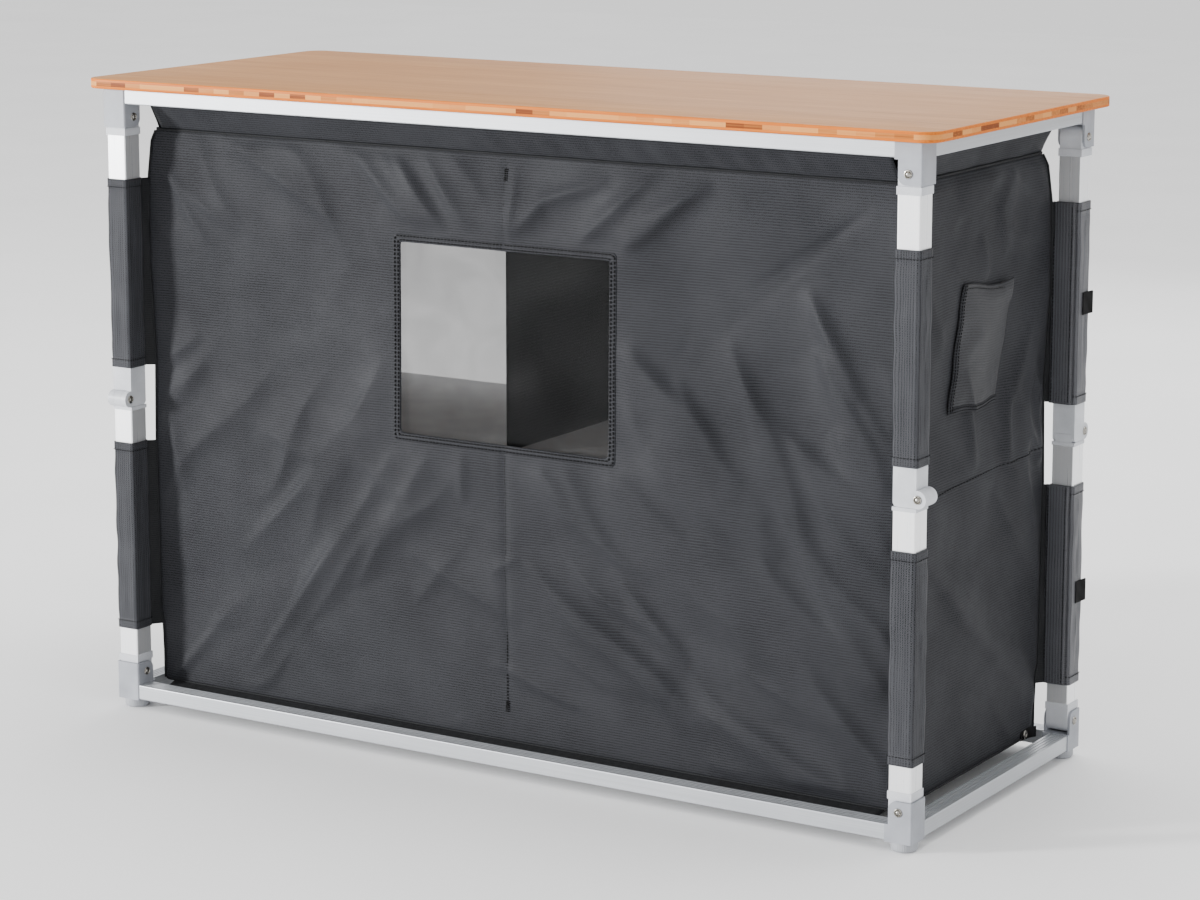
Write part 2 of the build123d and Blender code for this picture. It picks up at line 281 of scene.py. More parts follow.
def laminated_bamboo(name):
    """Three-ply bamboo board under satin lacquer.

    The faces are pale tan with long thin fibres and faint strips 20 mm wide. On the edges the
    two outer plies show as light orange bands 3 mm thick, and the middle ply as end-grain
    blocks 20 mm long whose colour changes from block to block.
    """
    made, tree, shader = material(name, Specular_IOR_Level=.10, Coat_Weight=.04, Coat_Roughness=.28)
    place = add(tree, "TexCoord")
    xyz = add(tree, "SeparateXYZ", {"Vector": (place, "Object")})
    # Fibres: noise squeezed across X, 1.6 mm wide and 110 mm long
    stretched = add(tree, "Mapping", {"Vector": (place, "Object"), "Scale": (9, 620, 620)})
    fibres = noise(tree, stretched, 1, 4, Roughness=.62)
    broad = add(tree, "Mapping", {"Vector": (place, "Object"), "Scale": (2.2, 34, 34)})
    bands = noise(tree, broad, 1, 3, Distortion=.4)
    strip = maths(tree, "SNAP", (xyz, "Y"), .020)
    strip = add(tree, "TexWhiteNoise", {"W": strip}, noise_dimensions="1D")
    tone = maths(tree, "MULTIPLY_ADD", (strip, "Value"), .06, fibres)
    tone = maths(tree, "MULTIPLY_ADD", bands, .40, tone)
    face = ramp(tree, tone, (.50, "#946336"), (.73, "#A57443"), (.95, "#B48350"))
    # Edge: blocks by the rounded position along the edge, plies by height
    along = maths(tree, "ADD", (xyz, "X"), (xyz, "Y"))
    block = maths(tree, "SNAP", along, .0203)
    block = add(tree, "TexWhiteNoise", {"W": block}, noise_dimensions="1D")
    ply_tone = maths(tree, "MULTIPLY_ADD", fibres, .5, (block, "Value"))
    blocks = ramp(tree, ply_tone, (.28, "#7A3C14"), (.42, "#AD6526"), (.60, "#C98140"), (1.0, "#D6924E"))
    outer = ramp(tree, fibres, (.3, "#B85A12"), (.7, "#D97A26"))
    height = maths(tree, "SUBTRACT", (xyz, "Z"), (BOARD_LOW + BOARD_TOP) / 2)
    height = maths(tree, "ABSOLUTE", height)
    middle = spread(tree, height, 0, 1, .0022, .0025)
    edge = add(tree, "Mix", {0: middle, 6: blocks, 7: outer}, data_type="RGBA")
    facing = add(tree, "NewGeometry")
    facing = add(tree, "SeparateXYZ", {"Vector": (facing, "True Normal")})
    upright = maths(tree, "ABSOLUTE", (facing, "Z"))
    is_face = spread(tree, upright, 0, 1, .80, .93)
    colour = add(tree, "Mix", {0: is_face, 6: (edge, 2), 7: face}, data_type="RGBA")
    worn = spread(tree, fibres, .58, .48)
    grain = bump(tree, fibres, .12, .0002)
    join(tree, shader, Base_Color=(colour, 2), Roughness=worn, Normal=grain)
    return made


def soft_film(name):
    """Smoke-clear PVC film 0.5 mm thick: glossy, slightly rippled, it dims what lies behind."""
    made, tree, shader = material(name, Specular_IOR_Level=.16)
    place = add(tree, "TexCoord")
    waves = noise(tree, (place, "Object"), 18, 2, Distortion=.5)
    colour = ramp(tree, waves, (.35, "#08090A"), (.7, "#101112"))
    worn = spread(tree, waves, .10, .2)
    cover = spread(tree, waves, .40, .47)
    height = bump(tree, waves, .06, .001)
    join(tree, shader, Base_Color=colour, Roughness=worn, Alpha=cover, Normal=height)
    return made


def ribbed_webbing(name, dark, light, pitch=.0016):
    """Polyester webbing or twisted thread: fine fleck over slow diagonal bands.

    The bands lie 4 * pi * pitch apart along an axis, 20 mm for the webbing and 15 mm for thread.
    """
    made, tree, shader = material(name, Specular_IOR_Level=.12, Roughness=.78)
    place = add(tree, "TexCoord")
    ribs = add(tree, "TexWave", {
        "Vector": (place, "Object"), "Scale": 1 / (pitch * 20), "Distortion": 1.5, "Detail": 1.0},
        bands_direction="DIAGONAL")
    fleck = noise(tree, (place, "Object"), 700, 2)
    mixed = maths(tree, "MULTIPLY_ADD", (ribs, "Fac"), .5, fleck)
    colour = ramp(tree, mixed, (.35, dark), (1.0, light))
    height = bump(tree, (ribs, "Fac"), .4, .0002)
    join(tree, shader, Base_Color=colour, Normal=height)
    return made


def paper(name, code):
    """The studio floor: matt pale paper with a trace of mottle."""
    made, tree, shader = material(name, Roughness=.9)
    place = add(tree, "TexCoord")
    cloud = noise(tree, (place, "Object"), 3, 2)
    colour = ramp(tree, cloud, (.3, code), (.8, "#FFFFFF"))
    join(tree, shader, Base_Color=colour)
    return made


ACROSS = math.pi / 2
BODY_CLOTH = woven_polyester("woven_polyester_grey", "#030304", "#2F3034", thread=.0028)
FLAP_CLOTH = woven_polyester("woven_polyester_flap", "#040405", "#303135", thread=.0028, rough=.46, gloss=.24)
LINING = woven_polyester("polyester_lining_black", "#070708", "#19191A", rough=.7, gloss=.15)
SLEEVE_CLOTH = woven_polyester("woven_polyester_sleeve", "#08090A", "#3F4044", thread=.0032, turn=ACROSS)
# The shelf-side sleeves get a lighter copy of the sleeve cloth: painted light in its colour, so that these
# sleeves and their flanges read as lit
SLEEVE_PAINTED_LIGHT = woven_polyester(
    "woven_polyester_sleeve_shelf_side_painted_light", "#0A0B0C", "#4F5055", rough=.42, gloss=.40, turn=ACROSS)
HEM_CLOTH = woven_polyester("woven_polyester_hem", "#030304", "#212224", thread=.0024)
FILM = soft_film("clear_pvc_film")
WEBBING = ribbed_webbing("polyester_webbing_black", "#050505", "#171718")
THREAD = ribbed_webbing("sewing_thread_dark", "#040404", "#121213", pitch=.0012)
BAMBOO = laminated_bamboo("laminated_bamboo_lacquered")
STEEL = polished_steel("nickel_plated_steel")
CORNER_NYLON = moulded_nylon("moulded_nylon_grey", "#868990", "#A4A7AE")
KNEE_NYLON = moulded_nylon("moulded_nylon_light_grey", "#B4B7BC", "#D2D4D9")
FOOT_NYLON = moulded_nylon("moulded_nylon_foot", "#8F9297", "#ACAEB3", rough=.55)
BOARD = moulded_nylon("hardboard_cloth_covered", "#D0D1D3", "#E4E5E6", rough=.7)
RAIL_X = aluminium("anodised_aluminium_along_x", (3, 900, 900), "#B3B6BA", "#C3C6CA", .42)
RAIL_Y = aluminium("anodised_aluminium_along_y", (900, 3, 900), "#B3B6BA", "#C3C6CA", .42)
TUBE = aluminium("anodised_aluminium_tube", (900, 900, 3), "#F6F8FB", "#FFFFFF", .30)


# ---- surface helpers


def grid(rows, columns):
    """The values of two axes as whole arrays, the first along the rows."""
    return np.meshgrid(rows, columns, indexing="ij")


def stack(*parts):
    """Coordinates put together as one array of points, or of UV pairs."""
    return np.stack(np.broadcast_arrays(*parts), -1)


def unit(vectors):
    """Vectors scaled to length 1."""
    return vectors / np.linalg.norm(vectors, axis=-1, keepdims=True)


def run_along(path):
    """The length of a path up to each of its points."""
    return np.concatenate([[0], np.cumsum(np.linalg.norm(np.diff(path, axis=0), axis=1))])


def walk(path, where, values=None):
    """The points of a path, or values given at its points, at the lengths where along it."""
    run = run_along(path)
    return np.stack([np.interp(where, run, column) for column in (path if values is None else values).T], 1)


def rim(turn, side, other):
    """Points of the unit circle at the angles turn, in the plane of side and other."""
    return np.cos(turn)[:, None] * side[..., None, :] + np.sin(turn)[:, None] * other[..., None, :]


def patch(points, uv=None, keep=None, ring=False, flip=False):
    """One sheet of quads over a grid of points (..., rows, columns, 3) in metres.

    Leading axes repeat the grid. The quad at row i, column j has the corners (i, j),
    (i, j+1), (i+1, j+1), (i+1, j). ring joins the last column to the first. keep drops
    quads. uv has one pair per grid point, and one column more where it is a ring.
    """
    points = np.asarray(points, float)
    many = int(np.prod(points.shape[:-3]))
    rows, cols = points.shape[-3:-1]

    def corners(index):
        return np.stack([index[:-1, :-1], index[:-1, 1:], index[1:, 1:], index[1:, :-1]], -1)

    index = np.arange(rows * cols).reshape(rows, cols)
    if ring:
        index = np.concatenate([index, index[:, :1]], 1)
    wide = index.shape[1]
    if uv is None:
        uv = np.zeros((rows, wide, 2))
    quads = corners(index)
    uv = np.asarray(uv, float).reshape(-1, 2)[corners(np.arange(rows * wide).reshape(rows, wide))]
    if keep is not None:
        quads, uv = quads[keep], uv[keep]
    quads, uv = quads.reshape(-1, 4), uv.reshape(-1, 4, 2)
    if flip:
        quads, uv = quads[:, ::-1], uv[:, ::-1]
    steps = (np.arange(many) * rows * cols)[:, None, None]
    return points.reshape(-1, 3), (quads + steps).reshape(-1, 4), np.tile(uv, (many, 1, 1))


def piece(name, patches, coat, body, weld=False, thick=0.0, lining=None, sharp=40.0):
    """An object of one or more patches that rides on a body, smooth up to the sharp angle.

    weld merges the points of poles and seams and turns the faces outward. thick adds a wall
    of that size inside the faces, whose inner side has the material lining, if one is given.
    """
    start, verts, quads, uvs = 0, [], [], []
    for points, faces, uv in patches:
        verts.append(points)
        quads.append(faces + start)
        uvs.append(uv)
        start += len(points)
    used, quads = np.unique(np.concatenate(quads).ravel(), return_inverse=True)
    verts = np.concatenate(verts)[used]
    mesh = bpy.data.meshes.new(name)
    mesh.vertices.add(len(verts))
    mesh.vertices.foreach_set("co", verts.astype(np.float32).ravel())
    mesh.loops.add(len(quads))
    mesh.loops.foreach_set("vertex_index", quads.astype(np.int32))
    mesh.polygons.add(len(quads) // 4)
    mesh.polygons.foreach_set("loop_start", np.arange(0, len(quads), 4, dtype=np.int32))
    mesh.update(calc_edges=True)
    layer = mesh.uv_layers.new(name="UVMap")
    layer.data.foreach_set("uv", np.concatenate(uvs).astype(np.float32).ravel())
    mesh.validate()
    if weld:
        work = bmesh.new()
        work.from_mesh(mesh)
        bmesh.ops.remove_doubles(work, verts=work.verts, dist=2e-6)
        bmesh.ops.recalc_face_normals(work, faces=work.faces)
        work.to_mesh(mesh)
        work.free()
    mesh.polygons.foreach_set("use_smooth", np.ones(len(mesh.polygons), bool))
    mesh.set_sharp_from_angle(angle=math.radians(sharp))
    made = bpy.data.objects.new(name, mesh)
    for side in (coat, lining) if lining else (coat,):
        mesh.materials.append(side)
    bpy.context.scene.collection.objects.link(made)
    if thick:
        wall = made.modifiers.new("wall", "SOLIDIFY")
        wall.thickness = thick
        wall.offset = -1
        wall.material_offset = 1 if lining else 0
        wall.use_even_offset = False
    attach(made, body)
    return made


def lined(name, patches, cloth=BODY_CLOTH, body="base_frame", thick=CLOTH, sharp=180):
    """A piece of grey polyester that is coated black on its inner side."""
    return piece(name, patches, cloth, body, thick=thick, lining=LINING, sharp=sharp)


def smooth_step(t):
    """3t^2 - 2t^3 of t held between 0 and 1."""
    t = np.clip(t, 0, 1)
    return t * t * (3 - 2 * t)


def ripple(a, b, size, height, seed, count=14):
    """Low uneven waves over a and b: a sum of plane waves with seeded turns and phases."""
    pick = np.random.default_rng(seed)
    out = np.zeros(np.broadcast(a, b).shape)
    draws = pick.uniform(0, math.pi, count), pick.uniform(0, 6.3, count), pick.uniform(.6, 1.7, count)
    for turn, phase, stretch in zip(*draws):
        out = out + np.sin((a * math.cos(turn) + b * math.sin(turn)) * 2 * math.pi * stretch / size + phase)
    return height * out / math.sqrt(count)


def crease(a, b, line, height, width, lean, edge=.0022):
    """A crease in cloth along a line of points in the plane of a and b.

    With d the distance to the line and s its side, the height is
    height * exp(-(sqrt(d^2 + edge^2) - edge) / (0.80 * width * (1 + lean * s))), so the crest is
    nearly sharp and one flank is steeper. It tapers like a sine toward both ends of the line,
    which is drawn out by 0.3 of its first and last run.
    """
    line = np.asarray(line, float) / 1000
    line[0] += (line[0] - line[1]) * .3
    line[-1] += (line[-1] - line[-2]) * .3
    lengths = np.linalg.norm(np.diff(line, axis=0), axis=1)
    total, run = lengths.sum(), 0.0
    best = np.full(np.broadcast(a, b).shape, 1e9)
    along, side = np.zeros_like(best), np.zeros_like(best)
    for (a0, b0), (a1, b1), size in zip(line[:-1], line[1:], lengths):
        ua, ub = (a1 - a0) / size, (b1 - b0) / size
        t = np.clip((a - a0) * ua + (b - b0) * ub, 0, size)
        da, db = a - a0 - t * ua, b - b0 - t * ub
        d = np.hypot(da, db)
        closer = d < best
        best = np.where(closer, d, best)
        along = np.where(closer, (run + t) / total, along)
        side = np.where(closer, np.tanh((ua * db - ub * da) / .004), side)
        run += size
    fade = np.sin(math.pi * np.clip(along, 0, 1))
    fall = np.exp(-(np.sqrt(best ** 2 + edge ** 2) - edge) / (.80 * width * (1 + lean * side)))
    return height * fade * fall


def seams(path, normals, pitch, radius):
    """Stitches along a path: capsules of 12 faces, one per pitch, 0.72 of it thread.

    Each one is a ring of four points at four stations, its ends drawn to a point. normals
    point away from the cloth: one for all, or one per point of the path.
    """
    middle = np.arange(pitch / 2, run_along(path)[-1], pitch)
    up = unit(walk(path, middle, np.broadcast_to(np.array(normals, float), path.shape)))
    ahead = unit(walk(path, middle + pitch * .3) - walk(path, middle - pitch * .3))
    stations = np.array([-.5, -.32, .32, .5]) * pitch * .72
    size = np.array([0, 1, 1, 0]) * radius
    ring = rim(np.arange(4) * math.pi / 2 + math.pi / 4, up[:, None], np.cross(ahead, up)[:, None])
    points = walk(path, middle)[:, None, None, :] + stations[None, :, None, None] * ahead[:, None, None, :]
    return patch(points + size[None, :, None, None] * ring, ring=True)


def tube(path, radius, sides=10, up=(0, 0, 1)):
    """A round cord along a path (n, 3), closed by a pole at each end."""
    path = np.concatenate([path[:1], path, path[-1:]])
    ahead = np.gradient(path, axis=0)
    ahead[0], ahead[-1] = ahead[1], ahead[-2]
    ahead = unit(ahead)
    side = unit(np.cross(ahead, np.asarray(up, float)))
    size = np.full(len(path), radius)
    size[0] = size[-1] = 0
    ring = rim(np.arange(sides) * 2 * math.pi / sides, side, np.cross(side, ahead))
    uv = stack(np.linspace(0, 2 * math.pi * radius, sides + 1)[None], run_along(path)[:, None])
    return patch(path[:, None] + size[:, None, None] * ring, uv=uv, ring=True)


def turned(profile, centre, axis, sides=28, wave=None):
    """A turned part: profile points (along, radius) carried round the axis through centre.

    wave gives the share of the radius at an angle. It shapes the rim, further out than 8 mm.
    """
    profile = np.asarray(profile, float)
    axis = np.asarray(axis, float)
    helper = np.array([0, 0, 1.0]) if abs(axis[2]) < .9 else np.array([1.0, 0, 0])
    side = unit(np.cross(axis, helper))
    turn = np.arange(sides) * 2 * math.pi / sides
    radius = profile[:, 1:]
    if wave:
        radius = np.where(radius > .008, radius * wave(turn), radius)
    points = np.asarray(centre, float) + profile[:, :1, None] * axis
    return patch(points + radius[..., None] * rim(turn, side, np.cross(axis, side)), ring=True)


def soft_body(made):
    """Gives the cloth piece a mesh of its own.
    """
    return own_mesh(made)


# ---- worktop

QUADRANTS = ((1, 1), (-1, 1), (-1, -1), (1, -1))


def arcs(corners, radius, steps):
    """Quarter circles of that radius, anticlockwise from the first corner at + +.

    corners gives the points where the sides would meet, each with the signs of its quadrant.
    """
    turn = np.linspace(0, math.pi / 2, steps)
    parts = []
    for k, (a, b, sa, sb) in enumerate(corners):
        t = turn + k * math.pi / 2
        parts.append(stack(a - sa * radius + radius * np.cos(t), b - sb * radius + radius * np.sin(t)))
    return parts


def board_shell(half_x, half_y, radius, low, high, ease):
    """A board: the outline carried round two quarter circles of size ease, closed above and below.

    The faces above and below are four more rows of the grid, drawn in to a small middle.
    """
    quarter = np.linspace(0, math.pi / 2, 5)
    inset = np.concatenate([ease * (1 - np.sin(quarter)), ease * (1 - np.cos(quarter))])
    height = np.concatenate([low + ease * (1 - np.cos(quarter)), high - ease * (1 - np.sin(quarter))])
    rows = []
    for d, z in zip(inset, height):
        corners = [(sx * (half_x - d), sy * (half_y - d), sx, sy) for sx, sy in QUADRANTS]
        rows.append(stack(*np.concatenate(arcs(corners, radius - d, 14)).T, z))
    for z, at in ((low, 0), (high, -1)):
        for share in (.5, 1.0):
            far = rows[at] * [1 - share * (half_y / half_x), 1 - share, 1]
            far[:, 2] = z
            rows.insert(0, far) if at == 0 else rows.append(far)
    return patch(rows, ring=True)


worktop = piece(
    "worktop_board", [board_shell(.5175, .2115, .020, BOARD_LOW, BOARD_TOP, .0014)],
    BAMBOO, "top_frame", weld=True, sharp=35)
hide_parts("worktop")


# ---- rivets, pins and feet


def rivet_profile(grip, head=.0045, crown=.0020, shank=.0025):
    """Heads on both ends of a shank of length grip: a dome, a groove round it, and a rim."""
    t = np.linspace(0, math.pi / 2, 6)
    dome = stack((crown - .0002) * np.cos(t) + .0002, .60 * head * np.sin(t))
    edge = np.array([(.0001, .66), (.0009, .72), (.0013, .80), (.0012, .90), (.0006, 1), (0, 1)])
    cap = np.concatenate([dome, edge * [1, head], [[0, shank]]]) + [grip / 2, 0]
    return np.concatenate([cap, cap[::-1] * [-1, 1]])


def hinge_axis(leg):
    """The legs fold one after the other round the frame, so the hinge axes turn as well."""
    return (0, 1, 0) if leg in ("window_right", "shelf_left") else (1, 0, 0)


def knurl(turn):
    """Radius share of the foot's rim: 36 shallow flutes."""
    return 1 - .022 * (.5 + .5 * np.cos(36 * turn)) ** 2


for group, height, body in (("base", BASE_PIVOT, "base_frame"), ("top", TOP_PIVOT, "top_frame")):
    rivets = [turned(rivet_profile(.030), (sx * POST_X, sy * POST_Y, height), hinge_axis(leg))
              for leg, (sx, sy) in LEGS.items()]
    made = piece(f"{group}_rivets_domed", rivets, STEEL, body, weld=True)
    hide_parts(f"{group}_rivets")
for leg, (sx, sy) in LEGS.items():
    out = (sx, 0) if hinge_axis(leg)[1] else (0, sy)
    at = (sx * POST_X + out[0] * KNEE_OUT, sy * POST_Y + out[1] * KNEE_OUT, KNEE)
    pin = turned(rivet_profile(.025), at, hinge_axis(leg))
    made = piece(f"knee_pin_domed_{leg}", [pin], STEEL, f"upper_leg_{leg}", weld=True)
    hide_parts(f"knee_pin_{leg}")

# A foot's profile from the middle of its sole: rounded rim, 10.3 mm high, then the threaded stem
FOOT = [(0, 0), (0, .0105), (.0006, .0121), (.0016, .0130), (.003, .0135), (.0085, .0135), (.0097, .0132),
        (.0103, .0122), (.0103, .0041), (.0203, .0040), (.0203, 0)]
for leg, (sx, sy) in LEGS.items():
    foot = turned(FOOT, (sx * POST_X, sy * POST_Y, 0), (0, 0, 1), sides=144, wave=knurl)
    made = piece(f"levelling_foot_{leg}", [foot], FOOT_NYLON, f"foot_{leg}", weld=True)
    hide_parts(f"foot_{leg}")


# ---- shape of the cloth body

# How far the body's corner edges stand out at the heights EDGE_Z, and the folded legs' reach
EDGE_Z = np.array([16, 32, 60, 90, 107, 223, 304, 350, 395, 462, 507, 563, 602, 641, 656]) / 1000
EDGE_X = np.array([1, 3, 3, 4, 6, 4, 4, 3, 2, 5, 8, 8.6, 8.6, 7, 1]) / 1000
EDGE_Y = np.array([-6, -5, -3, -2, 2, 8, 9, 9, 9, 9, 9, 7, 4, -4, -8]) / 1000
REACH_X, REACH_Y = .4694, .1694


def edge_x(z):
    """Half length of the body at height z, from the silhouette of its corner."""
    return BODY_X + np.interp(z, EDGE_Z, EDGE_X)


def edge_y(z, sign=-1):
    """Half depth of the body at height z. The window side is drawn tighter."""
    drawn = np.interp(z, EDGE_Z, EDGE_Y) * (.55 if sign < 0 else 1)
    return BODY_Y + np.where(z < .3, np.maximum(drawn, -.0002), drawn)


def held_in(size, reach, soft=.0012):
    """Cloth that stays inside the folded legs: it follows size, and bends over toward reach.

    reach - soft * ln(1 + exp((reach - size) / soft)).
    """
    return reach - soft * np.logaddexp(0, (reach - size) / soft)


def off_boards(size, half, z):
    """Cloth that never reaches in past the boards' edges, which meet its lower part when folded.

    size, but at least half, less 4 mm * smooth_step from 0.20 m to 0.25 m up.
    """
    return np.maximum(size, half - .004 * smooth_step((z - .20) / .05))


def bulge(share, z):
    """How far a panel is drawn in: sin along each bay times sin between base, shelf and top."""
    upper = np.sin(math.pi * np.clip((z - SHELF_Z) / (BODY_TOP - SHELF_Z), 0, 1))
    lower = np.sin(math.pi * np.clip((z - BODY_LOW) / (SHELF_Z - BODY_LOW), 0, 1))
    return np.abs(np.sin(math.pi * share)) ** .6 * (upper + .50 * lower)


FRONT_FOLDS = [
    # (points (x, z) in mm, height mm, width mm, lean)
    ([(-189, 644), (-145, 604), (-99, 566)], 4.2, 15, .45),
    ([(-137, 642), (-105, 605), (-74, 570)], 3.2, 10, -.4),
    ([(-99, 642), (-70, 606), (-42, 572)], 2.6, 9, .3),
    ([(-350, 643), (-275, 602), (-203, 560)], 3.2, 22, .5),
    ([(-434, 599), (-372, 559)], 2.4, 14, .3),
    ([(14, 623), (8, 560)], 1.6, 9, -.3),
    ([(-160, 413), (-195, 350), (-241, 294), (-325, 212)], 4.2, 17, .5),
    ([(-141, 322), (-190, 250), (-243, 183), (-321, 81)], 4.4, 18, .45),
    ([(-92, 333), (-140, 256), (-183, 185)], 3.2, 13, .3),
    ([(-51, 338), (-51, 294)], 2.2, 8, 0),
    ([(-103, 212), (-14, 174)], 2.2, 12, .3),
    ([(-13, 212), (12, 227)], 1.4, 8, 0),
    ([(-440, 403), (-411, 422)], 2.2, 9, 0),
    ([(-442, 329), (-429, 273)], 2.2, 9, .2),
    ([(-441, 363), (-405, 389)], 2.4, 9, 0),
    ([(-302, 327), (-228, 302)], 2.2, 13, .3),
    ([(-187, 317), (-129, 274)], 2.0, 11, .3),
    ([(8, 566), (51, 610), (111, 630)], 3.0, 13, .3),
    ([(147, 568), (194, 605), (234, 633)], 4.2, 17, .45),
    ([(90, 566), (130, 600), (175, 640)], 2.2, 11, .2),
    ([(227, 478), (315, 544), (403, 610)], -1.6, 5, 0),
    ([(138, 462), (206, 412), (236, 354), (312, 291)], 4.6, 17, -.45),
    ([(135, 337), (201, 272), (254, 226), (330, 180), (453, 67)], 5.0, 22, -.5),
    ([(254, 263), (352, 209), (434, 154)], 4.2, 22, -.4),
    ([(346, 300), (392, 228), (434, 159)], 3.0, 16, .35),
    ([(377, 475), (406, 428), (436, 386)], 3.2, 13, -.35),
    ([(365, 528), (405, 462)], 3.0, 14, -.3),
    ([(44, 332), (80, 289), (117, 261)], 2.8, 11, -.3),
    ([(37, 219), (105, 169), (190, 125), (238, 82)], 3.6, 17, -.4),
    ([(232, 102), (308, 72), (411, 37)], 3.2, 15, -.4),
    ([(367, 374), (446, 302)], 2.8, 13, -.3),
    ([(276, 465), (316, 393), (351, 311)], 3.4, 15, -.35),
    ([(218, 424), (259, 361), (306, 316)], 3.0, 12, -.3),
    ([(400, 397), (440, 362)], 3.4, 9, 0),
    ([(195, 349), (254, 294)], 2.4, 10, -.3),
    ([(148, 218), (208, 162)], 2.2, 11, -.3),
    ([(5, 106), (86, 80)], 2.0, 10, -.3),
]
RIGHT_FOLDS = [
    # (points (y, z) in mm, height mm, width mm, lean)
    ([(76, 638), (53, 605), (63, 568)], 4.5, 13, .4),
    ([(104, 571), (188, 604)], 3.6, 12, -.3),
    ([(112, 588), (140, 603), (169, 621)], 3.0, 9, .3),
    ([(23, 545), (6, 576)], 2.6, 10, .3),
    ([(178, 547), (140, 486), (87, 411)], 4.6, 17, .45),
    ([(136, 451), (119, 380), (117, 318), (158, 190)], 4.2, 15, -.4),
    ([(78, 416), (77, 354)], 2.4, 11, .3),
    ([(178, 380), (159, 340)], 2.6, 10, 0),
    ([(59, 299), (110, 250), (149, 204)], 3.8, 15, .4),
    ([(-98, 259), (0, 182), (102, 105)], 4.0, 20, .45),
    ([(110, 126), (165, 56)], 4.0, 14, -.35),
    ([(-20, 435), (-1, 368)], 2.4, 12, .3),
    ([(-150, 640), (-60, 612), (30, 640)], 3.0, 16, .3),
    ([(-150, 560), (-90, 500)], 2.4, 13, .3),
]
LEFT_FOLDS = [
    ([(-140, 620), (-40, 560), (60, 540)], 3.8, 17, .4),
    ([(150, 610), (90, 520), (70, 430)], 4.2, 16, -.4),
    ([(-150, 300), (-60, 230), (40, 120)], 4.2, 18, .45),
    ([(140, 320), (80, 250), (60, 150)], 3.6, 15, -.35),
    ([(-120, 470), (-60, 420)], 2.6, 12, .3),
    ([(20, 90), (120, 60)], 2.6, 13, .3),
]


def drape(a, b, turn, size, height, seed):
    """A fan of nearly parallel creases: height * (1 - |sin(pi * s / size + bend)|) ^ 1.5.

    s runs across them and t along them. The bend and the strength wander with t and s.
    """
    s = a * math.cos(turn) + b * math.sin(turn)
    t = b * math.cos(turn) - a * math.sin(turn)
    bend = ripple(s, t, .30, .8, seed, 8)
    strong = np.clip(.45 + ripple(s, t / 2.2, .16, .6, seed + 1, 8), 0, 1.2)
    return height * strong * (1 - np.abs(np.sin(math.pi * s / size + bend))) ** 1.5


def folds(a, b, table):
    """The creases of a panel added up, in metres."""
    out = np.zeros(np.broadcast(a, b).shape)
    for line, height, width, lean in table:
        out = out + crease(a, b, line, FOLD_GAIN * height / 1000, width / 1000, lean)
    return out


def hems(z):
    """Two factors, 1 over most of the height and 0 at the sewn upper edge and at the lower one."""
    return smooth_step((BODY_TOP - z) / .018), smooth_step((z - BODY_LOW) / .016)


def front(x, z):
    """Y of the window side at x and z: edge depth + fullness + folds - seam and frame.

    The middle seam and the window's border hold the cloth back, and all of it fades out
    toward the four edges, where the panel is sewn.
    """
    half = edge_x(z)
    upper, lower = hems(z)
    held = smooth_step((half - np.abs(x)) / .020) * upper * lower
    # How far the place is from the window's border
    dx, dz = np.abs(x) - BORDER_X, np.maximum(BORDER_LOW - z, z - BORDER_TOP)
    apart = np.where((dx < 0) & (dz < 0), 0, np.hypot(np.maximum(dx, 0), np.maximum(dz, 0)))
    calm = .12 + .88 * smooth_step(apart / .026)
    seam = .0026 * np.exp(-(np.abs(x - MIDDLE_SEAM) / .0040)) * ((z > WINDOW_TOP) | (z < WINDOW_LOW))
    fans = drape(x, z, .86, .050, .0084, 71) * smooth_step((x - .02) / .12) * smooth_step((.50 - z) / .12)
    left_low = smooth_step((-.02 - x) / .12) * smooth_step((.46 - z) / .12)
    left_high = smooth_step((.02 - x) / .12) * smooth_step((z - .50) / .08)
    fans = fans + drape(x, z, -.75, .070, .0048, 73) * left_low
    fans = fans + drape(x, z, .70, .060, .0054, 75) * left_high
    creases = folds(x, z, FRONT_FOLDS) * (.72 + .60 * smooth_step((x + .05) / .20))
    slack = -.0090 * bulge(x / half + 1, z) * (.3 + .7 * smooth_step(apart / .10))
    out = slack + (creases + fans + ripple(x, z, .16, .0011, 5)) * calm
    size = off_boards(edge_y(z) + (out - seam) * held, np.minimum(BODY_Y, edge_y(z)), z)
    return -held_in(size, REACH_Y, .0013)


def end_side(y, z, table, seed, seam=0, fans=0):
    """Half length of an end at y and z: edge + fullness + folds, held at the sewn edges."""
    near, far = edge_y(z), edge_y(z, 1)
    upper, lower = hems(z)
    held = smooth_step((y + near) / .020) * smooth_step((far - y) / .016) * upper * lower
    slack = -.0070 * bulge((y + near) / (near + far), z)
    out = slack + folds(y, z, table) + fans + ripple(y, z, .14, .0011, seed)
    return held_in(off_boards(edge_x(z) + (out - seam) * held, BODY_X, z), REACH_X)


def right(y, z):
    """X of the flap end, with the shelf seam across it and a fan of folds toward the back."""
    seam = .0016 * np.exp(-np.abs(z - .3375) / .005)
    fans = drape(y, z, .75, .050, .0066, 77) * smooth_step((y - .03) / .10)
    return end_side(y, z, RIGHT_FOLDS, 7, seam, fans)


def left(y, z):
    """X of the plain end, with folds of its own."""
    return -end_side(y, z, LEFT_FOLDS, 8)


def spans(*stops):
    """Even steps between stops: (value, count), (value, count)... as one ascending array."""
    parts = [np.linspace(a[0], b[0], b[1] + 1)[:-1] for a, b in zip(stops[:-1], stops[1:])]
    return np.concatenate(parts + [[stops[-1][0]]])


def centres(a):
    """The middles between neighbouring values."""
    return (a[:-1] + a[1:]) / 2


